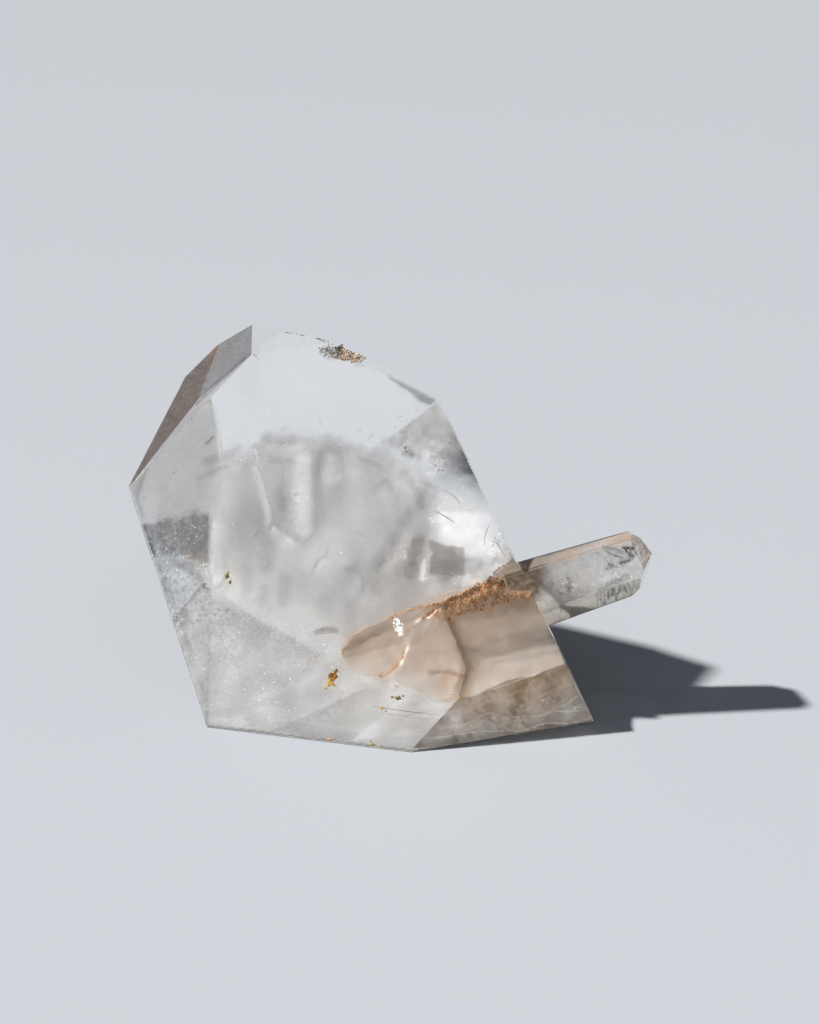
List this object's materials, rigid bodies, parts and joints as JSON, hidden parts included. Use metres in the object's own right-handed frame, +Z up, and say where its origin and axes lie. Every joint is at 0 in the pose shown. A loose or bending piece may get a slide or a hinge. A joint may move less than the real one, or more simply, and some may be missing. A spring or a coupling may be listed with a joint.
{
  "type": "quartz crystal cluster",
  "caption": "Polished clear quartz chunk standing on its cut base, with a small natural point grown through its side above a shell-shaped break.",
  "frame": {"origin": "middle of the box round the cluster, on its resting plane", "axes": "+X towards the small point, +Z up, and the broken front face looks along -Y and up"},
  "size_m": [0.0794, 0.0588, 0.0431],
  "materials": {
    "quartz": "clear quartz, polished on the chunk's faces, natural and slightly frosted on the small point and the break"
  },
  "bodies": {
    "root": {"quartz_cluster": "quartz"}
  },
  "joints": []
}
